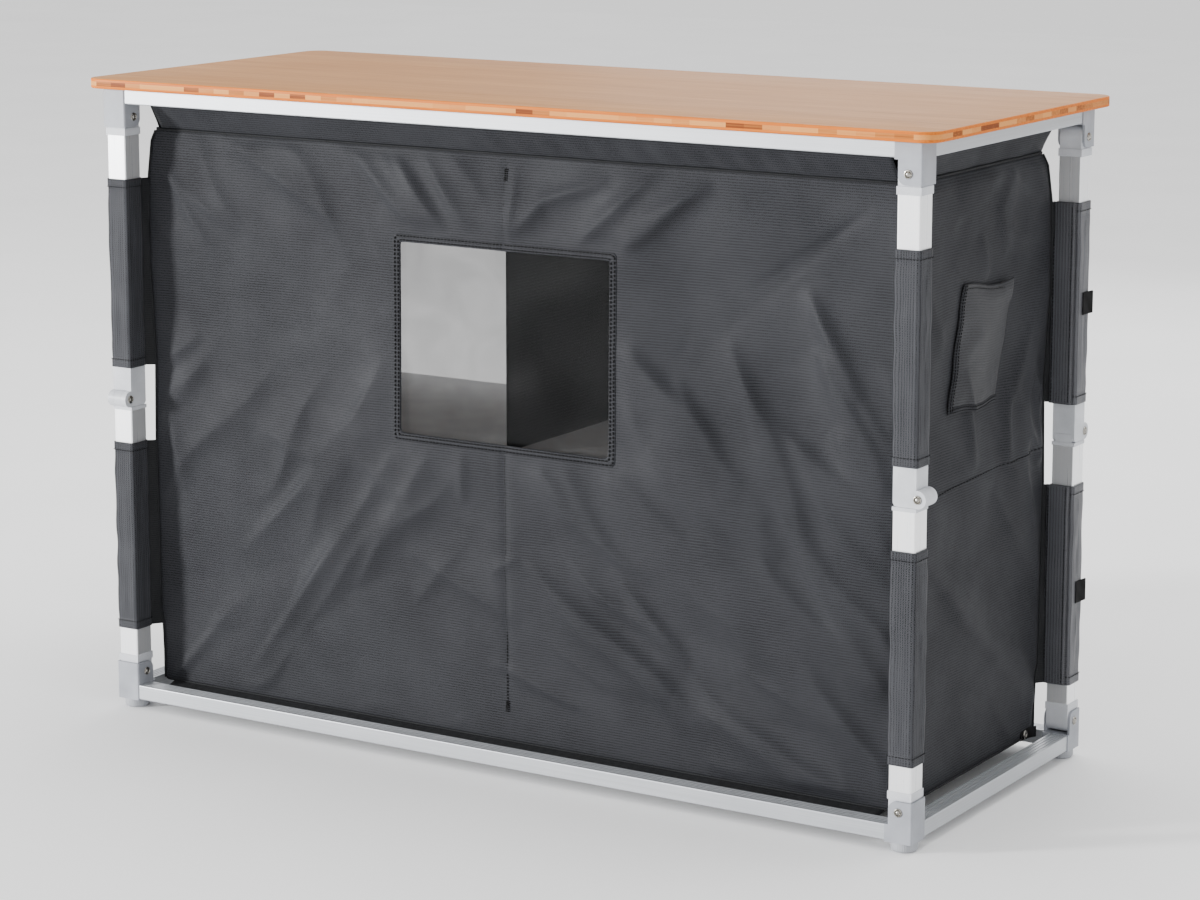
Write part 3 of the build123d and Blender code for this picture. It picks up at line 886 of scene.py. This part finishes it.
# Window side. N is the share of the half length, and the outer 60 mm follow the corner's edge
nx = spans((-1, 0), (-.2826, 92), (.2826, 76), (1, 92))
nz = spans((BODY_LOW, 0), (WINDOW_LOW, 88), (WINDOW_TOP, 56), (BODY_TOP, 30))
Z, N = grid(nz, nx)
inner = np.abs(N) * BODY_X
shifted = np.sign(N) * (inner + (edge_x(Z) - BODY_X) * smooth_step((inner - .40) / .060))
X = np.where(inner < .40, N * BODY_X, shifted)
high = (centres(nz) > WINDOW_LOW) & (centres(nz) < WINDOW_TOP)
hole = (np.abs(centres(nx))[None] * BODY_X < WINDOW_X) & high[:, None]
front_panel = lined("window_side_panel", [patch(stack(X, front(X, Z), Z), uv=stack(X, Z), keep=~hole)])


def end_panel(name, surface, opening):
    """An end panel between its two corner edges. The flap end has the cable opening left out."""
    ny = spans((0, 0), (.4125, 34), (.67, 21), (1, 27))
    nz = spans((BODY_LOW, 0), (FLAP_HOLE_Z[0], 100), (FLAP_HOLE_Z[1], 26), (BODY_TOP, 32))
    Z, N = grid(nz, ny)
    Y = -edge_y(Z) + N * (edge_y(Z) + edge_y(Z, 1))
    keep = None
    if opening:
        y, z = Y[:-1, :-1] / 2 + Y[1:, 1:] / 2, Z[:-1, :-1] / 2 + Z[1:, 1:] / 2
        inside = (y > FLAP_HOLE_Y[0]) & (y < FLAP_HOLE_Y[1])
        keep = ~(inside & (z > FLAP_HOLE_Z[0]) & (z < FLAP_HOLE_Z[1]))
    sheet = patch(stack(surface(Y, Z), Y, Z), uv=stack(Y, Z), keep=keep, flip=not opening)
    return lined(name, [sheet])


right_panel = end_panel("flap_end_panel", right, True)
left_panel = end_panel("plain_end_panel", left, False)

# Floor of the body, sagging between its edges
fx, fy = np.meshgrid(np.linspace(-1, 1, 60), np.linspace(-1, 1, 24))
sag = (1 - fx ** 2) * (1 - fy ** 2)
floor_z = BODY_LOW + .0006 - .0016 * sag + ripple(fx * BODY_X, fy * BODY_Y, .12, .0004, 9) * sag
floor_x = fx * edge_x(BODY_LOW)
floor_y = -edge_y(BODY_LOW) + (fy + 1) / 2 * (edge_y(BODY_LOW) + edge_y(BODY_LOW, 1))
floor_cloth = lined(
    "body_floor", [patch(stack(floor_x, floor_y, floor_z), uv=stack(floor_x, floor_y), flip=True)], sharp=40)


# Shelf side: a cloth frame round each bay, with a zip along its edge
BAY_NEAR, BAY_FAR, BAY_LOW, BAY_TOP = .014, .446, .048, .634


def shelf_side(x, z):
    """Y of the cloth frame on the shelf side: nearly flat, a little slack between its seams."""
    held = smooth_step((edge_x(z) - np.abs(x)) / .012)
    inner = smooth_step((edge_x(z) - np.abs(x)) / .030)
    drawn = edge_y(z, 1) - inner * np.maximum(edge_y(z, 1) - .1635, 0)
    waves = .0005 * (1 + np.sin(np.abs(x) / BODY_X * 9)) + np.abs(ripple(x, z, .10, .0004, 12))
    return drawn + waves * held


nx = spans((-1, 0), (-.9696, 4), (-.0304, 90), (.0304, 6), (.9696, 90), (1, 4))
nz = spans((BODY_LOW, 0), (BAY_LOW, 5), (BAY_TOP, 100), (BODY_TOP, 5))
Z, N = grid(nz, nx)
X = N * np.where(np.abs(N) > .9, edge_x(Z), BODY_X)
middle = np.abs(centres(nx))[None] * BODY_X
high = (centres(nz) > BAY_LOW) & (centres(nz) < BAY_TOP)
hole = (middle > BAY_NEAR) & (middle < BAY_FAR) & high[:, None]
shelf_frame = lined(
    "shelf_side_border", [patch(stack(X, shelf_side(X, Z), Z), uv=stack(X, Z), keep=~hole, flip=True)])


def loop_path(x0, x1, z0, z1, step=.004, round_corner=.006):
    """A rectangle's outline with small round corners as points (x, z), closed."""
    corners = [(x1, z1, 1, 1), (x0, z1, -1, 1), (x0, z0, -1, -1), (x1, z0, 1, -1)]
    parts = arcs(corners, round_corner, 5)
    ring = np.concatenate(parts + [parts[0][:1]])
    length = run_along(ring)[-1]
    return walk(ring, np.linspace(0, length, int(length / step) + 1))


zip_patches = []
for x0, x1 in ((-BAY_FAR, -BAY_NEAR), (BAY_NEAR, BAY_FAR)):
    x, z = loop_path(x0 - .004, x1 + .004, BAY_LOW - .004, BAY_TOP + .004).T
    path = stack(x, shelf_side(x, z) + .0012, z)
    zip_patches.append(tube(path, .0016, sides=8, up=(0, 1, 0)))
    zip_patches.append(seams(path + [0, .0012, 0], [0, 1, 0], .0042, .0013))
zips = piece("bay_zips", zip_patches, WEBBING, "base_frame", weld=True)


# ---- header and bottom strips


def header(name, long_side, sign, seed):
    """Cloth band from the body's top up and out to the inside of the top rail.

    Across it the profile goes body edge, rail's inner lower edge, 12 mm up the rail. Slanting
    pull folds cross it, sin of (along + 0.5 up), fading out at the body's piped edge.
    """
    v = np.concatenate([np.linspace(0, 1, 12), np.linspace(1.12, 1.4, 4)])
    V, U = grid(v, np.linspace(-1, 1, 190 if long_side else 70))
    rise = np.clip(V, 0, 1)
    z = BODY_TOP + rise * (TOP_RAIL_LOW - BODY_TOP) + np.clip(V - 1, 0, 1) / .4 * .012
    if long_side:
        inner, reach, wide = edge_y(BODY_TOP, sign), RAIL_IN_Y - .0011, HEADER_X
    else:
        inner, reach, wide = edge_x(BODY_TOP), RAIL_IN_X - .0011, HEADER_Y
    along = U * wide
    pull = np.sin(along * 2 * math.pi / .031 + rise * 3.2 + 2.2 * np.sin(along * 9 + seed))
    pull = pull * (.5 + .5 * np.sin(along * 7.3 + seed * 2.1))
    held = np.sin(math.pi * np.clip(rise * .92 + .08, 0, 1))
    waves = (.0013 * pull + ripple(along, z, .09, .0009, seed)) * held
    out = inner + (reach - inner) * rise + waves - .0006 * held
    z = z - .0012 * (1 - U ** 2) * np.sin(math.pi * rise)
    points = stack(along, out * sign, z) if long_side else stack(out * sign, along, z)
    return lined(name, [patch(points, uv=stack(along, V * .034), flip=(sign > 0) == long_side)])


headers = [
    header("header_window_side", True, -1, 21), header("header_shelf_side", True, 1, 22),
    header("header_right_end", False, 1, 23), header("header_left_end", False, -1, 24),
]


def bottom_strip(name, sign, seed):
    """Cloth band from the body's lower edge out to the base rail, crossed by short pull folds."""
    V, U = grid(np.linspace(0, 1, 9), np.linspace(-1, 1, 200))
    along = U * (BODY_X - .010)
    inner = edge_y(BODY_LOW, sign) + .0005
    out = inner + (RAIL_IN_Y - .0010 - inner) * V
    sag = np.sin(math.pi * V)
    zigzag = .0011 * np.abs(((along / .012) % 1) * 2 - 1)
    z = BODY_LOW + .0003 - .0018 * V + (zigzag - .0018 + ripple(along, out, .08, .0006, seed)) * sag
    return lined(name, [patch(stack(along, out * sign, z), uv=stack(along, out), flip=sign < 0)], HEM_CLOTH)


strips = [bottom_strip("bottom_strip_window_side", -1, 31), bottom_strip("bottom_strip_shelf_side", 1, 32)]


# ---- piping, seams and stitches

cords = []
x, y = np.linspace(-BODY_X + .001, BODY_X - .001, 200), np.linspace(-.154, .150, 80)
top, low = BODY_TOP, BODY_LOW + .0008
for surface, z, proud, radius in (
        (front, top, -.0008, .0014), (shelf_side, top, .0008, .0014), (front, low, -.0006, .0013)):
    cords.append(tube(stack(x, surface(x, z) + proud, z), radius))
for surface, z, proud, radius in (
        (right, top, .0008, .0014), (left, top, -.0008, .0014),
        (right, low, .0006, .0013), (left, low, -.0006, .0013)):
    cords.append(tube(stack(surface(y, z) + proud, y, z), radius))
z = np.linspace(BODY_LOW + .002, BODY_TOP - .002, 160)
for sx in (-1, 1):
    for sy in (-1, 1):
        path = stack(sx * (edge_x(z) + .0004), sy * (edge_y(z, sy) + .0004), z)
        cords.append(tube(path, .0013, up=(1, 0, 0)))
piping = piece("seam_piping", cords, HEM_CLOTH, "base_frame", weld=True)

rows = []
FRONTWARD, RIGHTWARD, LEFTWARD = [0, -1, 0], [1, 0, 0], [-1, 0, 0]
for low, high in ((.066, WINDOW_LOW - .007), (WINDOW_TOP + .007, .633)):
    z = np.linspace(low, high, 60)
    rows.append(seams(stack(MIDDLE_SEAM, front(MIDDLE_SEAM, z) - .0003, z), FRONTWARD, .0036, .00085))
for middle in (.633, .066):  # bar tacks at the ends of the middle seam
    z = np.linspace(middle - .0065, middle + .0065, 20)
    for shift in (-.0013, 0, .0013):
        x = MIDDLE_SEAM + shift
        rows.append(seams(stack(x, front(x, z) - .0006, z), FRONTWARD, .0022, .0010))
y = np.linspace(-.150, .157, 90)
z = .3340 + (y + .046) / .203 * .008
rows.append(seams(stack(right(y, z) + .0003, y, z), RIGHTWARD, .0062, .00060))
rows.append(seams(stack(left(y, z) - .0003, y, z), LEFTWARD, .0062, .00060))


def band(u):
    """X and Z round the window's border at u from 0, the opening, to 1, its outer edge."""
    grow = u * .0085
    return loop_path(-WINDOW_X - grow, WINDOW_X + grow, WINDOW_LOW - grow, WINDOW_TOP + grow,
                     step=.0052, round_corner=.0008 + grow * .3)


# Window border: a folded band round the opening, 0.8 mm proud, with two rows of stitches
points = []
for u, lift in ((-.02, -.0009), (0, .0002), (.08, .0007), (.2, .0008), (.5, .0008), (.8, .0008), (.93, .0007),
                (1.0, .0003), (1.02, -.0003)):
    ring = band(u)
    share, at = np.linspace(0, 1, len(ring)), np.linspace(0, 1, 190)
    x, z = np.interp(at, share, ring[:, 0]), np.interp(at, share, ring[:, 1])
    points.append(stack(x, front(x, z) - lift, z))
points = np.array(points)
window_border = piece(
    "window_border", [patch(points, uv=points[..., [0, 2]], flip=True)],
    BODY_CLOTH, "base_frame", sharp=180)
for u in (.26, .76):
    x, z = band(u).T
    rows.append(seams(stack(x, front(x, z) - .0013, z), FRONTWARD, .0044, .00080))

# Window film, with a slight wave of its own behind the panel
fx, fz = np.meshgrid(np.linspace(-.1385, .1385, 60), np.linspace(.3405, .5625, 50))
film_y = -.1572 + np.maximum(ripple(fx, fz, .11, .0006, 41), -.0008)
film = piece("window_film_sheet", [patch(stack(fx, film_y, fz), uv=stack(fx, fz))],
             FILM, "base_frame", thick=.0005, sharp=180)
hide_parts("window_film")


# ---- inside: divider

dy, dz = np.meshgrid(np.linspace(-.1555, .1570, 60), np.linspace(.0305, .634, 90))
dx = ripple(dy, dz, .16, .0012, 43) * smooth_step((.157 - dy) / .03) * smooth_step((dy + .155) / .03)
divider = piece("divider_cloth", [patch(stack(dx, dy, dz), uv=stack(dy, dz))],
                LINING, "base_frame", thick=CLOTH, sharp=180)
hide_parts("divider")


# ---- cable flap

# Corners as they hang: (y, z) bottom left, bottom right, top right, top left
FLAP = np.array([(-.055, .4105), (.054, .4065), (.079, .5280), (-.033, .5390)])
FLAP_WIDE, FLAP_TALL = .112, .128


def flap_at(u, v):
    """Y and Z on the flap at u across and v up: its four corners blended both ways."""
    low = FLAP[0] * (1 - u)[..., None] + FLAP[1] * u[..., None]
    high = FLAP[3] * (1 - u)[..., None] + FLAP[2] * u[..., None]
    out = low * (1 - v)[..., None] + high * v[..., None]
    wave = .0016 * np.sin(v * 9.5 + 1.2) * (1 - u) + .0011 * np.sin(v * 16) * (1 - u) ** 2
    return out[..., 0] - wave, out[..., 1] + .0012 * np.sin(u * 8)


def flap_lift(u, v):
    """How far the flap stands off the panel: slack in its middle, the top right corner curled."""
    free = .0022 + .0020 * np.sin(math.pi * u) ** 1.2 * np.sin(math.pi * v) ** .8
    top = .14 + .56 * v ** 1.4 + .05 * np.sin(v * 11)
    side = np.where(u < top, u / top, 1 - (u - top) / (1.02 - top))
    ridge = (.0045 + .0095 * v * (1 - .35 * v)) * (side - .25 * side ** 4) * smooth_step((1.04 - v) / .16)
    curl = np.clip((u - .70) / .30, 0, 1) ** 1.4 * np.clip((v - .80) / .20, 0, 1) ** 1.2
    return free + ridge + .0075 * curl + ripple(u * .1, v * .13, .06, .0004, 44)


u, v = np.meshgrid(np.linspace(0, 1, 56), np.linspace(0, 1, 64))
fy, fz = flap_at(u, v)
curl = np.clip((u - .74) / .26, 0, 1) ** 1.5 * np.clip((v - .84) / .16, 0, 1) ** 1.3
fy, fz = fy - .012 * curl, fz + .006 * curl
fx = right(np.clip(fy, -.15, .15), fz) + flap_lift(u, v)
flap = lined(
    "cable_flap_cloth", [patch(stack(fx, fy, fz), uv=stack(u * FLAP_WIDE, v * FLAP_TALL))], FLAP_CLOTH)
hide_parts("cable_flap")

# The folded hem down the flap's left side and along its lower edge, 7 mm wide, and its stitches
edge_u = np.concatenate([np.zeros(50), np.linspace(0, 1, 50)[1:]])
edge_v = np.concatenate([np.linspace(1, 0, 50), np.zeros(49)])
inset_u, inset_v = (np.linspace(0, 1, 5)[:, None] * share for share in (.062, .055))
corner = (edge_u == 0) & (edge_v == 0)
iu = np.where(corner, inset_u, np.clip(edge_u + inset_u * (edge_u < .5) * (edge_v > 0), 0, 1))
iv = np.where(corner, inset_v, np.clip(edge_v + inset_v * (edge_v <= .5) * (edge_u > 0), 0, 1))
hy, hz = flap_at(iu, iv)
hx = right(hy, hz) + flap_lift(iu, iv) + np.array([.0003, .0009, .0012, .0009, .0002])[:, None]
hem = patch(stack(hx, hy, hz), uv=stack(iu * FLAP_WIDE, iv * FLAP_TALL), flip=True)
flap_hem = piece("cable_flap_hem", [hem], BODY_CLOTH, "base_frame", sharp=180)
for k in (1, 3):
    rows.append(seams(stack(hx[k] + .0004, hy[k], hz[k]), RIGHTWARD, .0034, .00045))
tu, tv = np.linspace(.02, .8, 40), np.full(40, .965)
ty, tz = flap_at(tu, tv)
rows.append(seams(stack(right(ty, tz) + flap_lift(tu, tv) + .0003, ty, tz), RIGHTWARD, .0034, .00045))


# ---- rolled doors and their ties

ROLL_Y, ROLL_Z, ROLL_HALF = .1762, .6300, .214
ROLL_CORE, ROLL_STEP = .0026, .00132


def rolled_door(name, x, seed):
    """A door rolled up: a spiral sheet, radius 2.6 mm + 1.32 mm per turn, sagging a little."""
    t = np.linspace(0, 10.4 * 2 * math.pi, 300)
    T, U = grid(t, np.linspace(-ROLL_HALF, ROLL_HALF, 44))
    radius = ROLL_CORE + ROLL_STEP * T / (2 * math.pi)
    waves = ripple(U, T * .02, .13, .00045, seed) + .0005 * np.sin(U * 24 + seed)
    radius = radius + waves * (T / t[-1]) ** 2
    tight = 1 - .10 * np.exp(-((np.abs(U) - .12) / .012) ** 2) * (T / t[-1]) ** 1.5
    y = radius * tight * np.cos(T) * 1.03
    z = radius * tight * np.sin(T) * .97 - .0035 * (1 - (U / ROLL_HALF) ** 2)
    length = np.cumsum(np.concatenate([[0], np.diff(t)]) * (ROLL_CORE + ROLL_STEP * t / (2 * math.pi)))
    points = stack(U + x, y + ROLL_Y, z + ROLL_Z)
    return lined(name, [patch(points, uv=stack(U, length[:, None]))], thick=.0006)


doors = [rolled_door("door_roll_left", -.230, 51), rolled_door("door_roll_right", .230, 52)]
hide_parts("door_rolls")

# Section of a strap or tab: six points (share of the half width, lift), from one edge round
STRAP = np.array([(-1, 0), (-.94, .0007), (.94, .0007), (1, 0), (.94, -.0002), (-.94, -.0002)])


def closed_strip(rings):
    """A strip of rings of six points, each end closed by a ring drawn to its middle."""
    first, last = (end.mean(1, keepdims=True).repeat(6, 1) for end in (rings[:1], rings[-1:]))
    return patch(np.concatenate([first, rings, last]), ring=True)


def tie(x, radius=.0172):
    """A flat strap 15 mm wide round the roll."""
    t = np.linspace(-.35 * math.pi, 1.45 * math.pi, 40)[:, None]
    offsets = np.array([-.0075, -.0070, .0070, .0075, .0070, -.0070])
    out = radius + np.array([0, .0006, .0006, 0, -.0002, -.0002])
    return closed_strip(stack(x + offsets, ROLL_Y + out * np.cos(t), .6268 + out * np.sin(t)))


ties = piece("door_ties", [tie(x) for x in (-.350, -.110, .110, .350)],
             WEBBING, "base_frame", weld=True)


# ---- leg sleeves

SLEEVE_HALF = .0135
SLEEVE_Z = {
    # Lower end and upper end of the sleeve on the lower half, then of the one on the upper half
    "window_right": (.0884, .3027, .3861, .5968), "shelf_right": (.0832, .3000, .3875, .6013),
    "shelf_left": (.0920, .3050, .3881, .6011), "window_left": (.0922, .3054, .3905, .6007),
}


def sleeve(name, leg, low, high, seed, body):
    """Cloth sleeve round a leg tube, a square with soft corners, and its rows of stitches.

    The outline is a superellipse |x|^12 + |y|^12 = 1. The hems at both ends stand 0.45 mm
    proud over 9 mm, and shallow lengthwise and slanting folds run between them.
    """
    sx, sy = LEGS[leg]
    post_x, post_y = sx * POST_X, sy * POST_Y
    t = np.linspace(0, 2 * math.pi, 65)[:-1] + math.pi / 64
    z = spans((low, 0), (low + .0085, 5), (low + .0092, 1), (high - .0092, 44), (high - .0085, 1), (high, 5))
    Z, T = grid(z, t)
    near = np.minimum(Z - low, high - Z)
    shape = np.minimum((np.abs(np.cos(t)) ** 12 + np.abs(np.sin(t)) ** 12) ** (-1 / 12), 1.345)
    slack = smooth_step((near - .008) / .02)
    waves = .00022 * np.sin(T * 8 + seed) * np.sin(Z * 37 + seed)
    waves = ripple(T * SLEEVE_HALF, Z, .055, .00035, seed) + waves
    size = .0136 + .00045 * (near < .0088) + waves * slack + .0003 * slack
    points = stack(post_x + size * shape * np.cos(T), post_y + size * shape * np.sin(T), Z)
    uv = stack(np.linspace(0, 8 * SLEEVE_HALF, 65)[None], z[:, None])
    parts, thread = [patch(points, uv=uv, ring=True)], []
    if sy > 0:
        # These sleeves close with a flat flange 25 mm wide, sewn down in two lines
        FZ, FU = grid(z, np.linspace(-.0165, .0090, 12))
        lift = .0152 + .0009 * np.sin(math.pi * (FU + .0165) / .0255) + ripple(FU, FZ, .05, .0003, seed + 5)
        parts.append(patch(stack(sx * (POST_X + FU), POST_Y - lift, FZ), uv=stack(FU, FZ), flip=sx < 0))
        up = np.linspace(low + .002, high - .002, 60)
        for across in (-.0140, .0055):
            thread.append(seams(stack(sx * (POST_X + across), POST_Y - .0161, up), FRONTWARD, .0040, .0006))
    # The shelf-side sleeves take the lighter copy of the sleeve cloth, which has painted light in its colour
    made = lined(name, parts, SLEEVE_CLOTH if sy < 0 else SLEEVE_PAINTED_LIGHT, body, thick=.0006, sharp=60)
    around, out = np.append(t, t[0]), .0143 * np.append(shape, shape[0])
    for at in (low + .0088, high - .0088):
        flat = stack(post_x + out * np.cos(around), post_y + out * np.sin(around), at)
        thread.append(seams(flat, stack(np.cos(around), np.sin(around), 0), .0036, .0005))
    return made, thread


sleeves = []
for k, (leg, (z0, z1, z2, z3)) in enumerate(SLEEVE_Z.items()):
    for half, low, high in (("lower", z0, z1), ("upper", z2, z3)):
        body = f"{half}_leg_{leg}"
        seed = 60 + 2 * k + (half == "upper")
        made, thread = sleeve(f"{half}_sleeve_cloth_{leg}", leg, low, high, seed, body)
        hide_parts(f"{half}_sleeve_{leg}")
        piece(f"{half}_sleeve_stitches_{leg}", thread, THREAD, body, weld=True)
        sleeves.append((made, leg, high - low))

# Webs: the cloth tabs that join each corner of the body to its sleeves
webs = []
for leg, (sx, sy) in LEGS.items():
    z0, z1, z2, z3 = SLEEVE_Z[leg]
    for low, high in ((z0, z1), (z2, z3)):
        Z, S = grid(np.linspace(low + .0005, high - .0005, 50), np.linspace(0, 1, 6))
        wave = .0006 * np.sin(Z * 90) * S * (1 - S) * 4
        gx, gy = edge_x(Z) - .0005, edge_y(Z, sy) - .0005
        x, y = gx + (POST_X - .0112 - gx) * S + wave, gy + (POST_Y - .0112 - gy) * S - wave
        webs.append(patch(stack(sx * x, sy * y, Z), uv=stack(S * .02, Z), flip=sx * sy < 0))
web_piece = piece("sleeve_webs", webs, HEM_CLOTH, "base_frame", thick=.0008, sharp=180)

stitches = piece("body_stitches", rows, THREAD, "base_frame", weld=True)


def tab(name, place, size, lean, body):
    """A flat webbing tab with a slightly lifted end: a thin strip bent along its length."""
    u, (across, lift) = np.linspace(0, 1, 14)[:, None], STRAP.T
    ring = np.asarray(place) + stack(lift + lean * u ** 2.2, u * size[0], across * size[1] / 2)
    return piece(name, [closed_strip(ring)], WEBBING, body, weld=True)


# Hook tape tabs that close the shelf-side sleeves, and the snap tab at the body's lower corner
for half, z in (("upper", .494), ("lower", .1834)):
    at = (POST_X + .0146, POST_Y - .004, z)
    tab(f"{half}_sleeve_tab", at, (.021, .024), .0016, f"{half}_leg_shelf_right")
foot_tab = tab("corner_tab", (BODY_X + .0035, .128, .033), (.026, .012), .006, "base_frame")
SNAP = [(-.0008, 0), (-.0008, .0042), (.0004, .0046), (.0010, .0040), (.0010, .0026), (.0004, .0020),
        (.0004, 0)]
snap = piece("corner_snap", [turned(SNAP, (BODY_X + .0052, .137, .033), (1, 0, 0))],
             STEEL, "base_frame", weld=True)


# ---- finish of the carried-over parts


def refinish(names, coat):
    """Gives parts that are carried over as they are a material."""
    for name in names:
        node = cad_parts[name]
        node.data.materials.clear()
        node.data.materials.append(coat)


refinish([f"{g}_rail_{s}" for g in ("base", "top") for s in ("window", "shelf")], RAIL_X)
refinish([f"{g}_rail_{s}" for g in ("base", "top") for s in ("left", "right")], RAIL_Y)
refinish([f"{h}_tube_{leg}" for h in ("lower", "upper") for leg in LEGS], TUBE)
refinish([f"{g}_corner_{leg}" for g in ("base", "top") for leg in LEGS], CORNER_NYLON)
refinish([f"{h}_fittings_{leg}" for h in ("lower", "upper") for leg in LEGS], KNEE_NYLON)
refinish(["shelf_boards", "base_boards"], BOARD)

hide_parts("cover")
for made in [front_panel, right_panel, left_panel, floor_cloth, shelf_frame, zips, *headers, *strips, piping,
             window_border, film, divider, flap, flap_hem, *doors, ties, web_piece, stitches, foot_tab, snap]:
    soft_body(made)

# Cut width of each sleeve cloth in metres before it was sewn, worked out but not kept
for made, leg, tall in sleeves:
    .111 if "window" in leg else .1365


# ---- floor and room

mesh = bpy.data.meshes.new("studio_floor")
mesh.from_pydata([(-9, -9, 0), (9, -9, 0), (9, 9, 0), (-9, 9, 0)], [], [(0, 1, 2, 3)])
mesh.materials.append(paper("matt_white_paper", "#FAFAFA"))
ground = bpy.data.objects.new("studio_floor", mesh)
bpy.context.scene.collection.objects.link(ground)

world = bpy.data.worlds.new("studio")
bpy.context.scene.world = world
world.use_nodes = True
world.node_tree.nodes["Background"].inputs["Color"].default_value = rgb("#FFFFFF")
world.node_tree.nodes["Background"].inputs["Strength"].default_value = 1.15
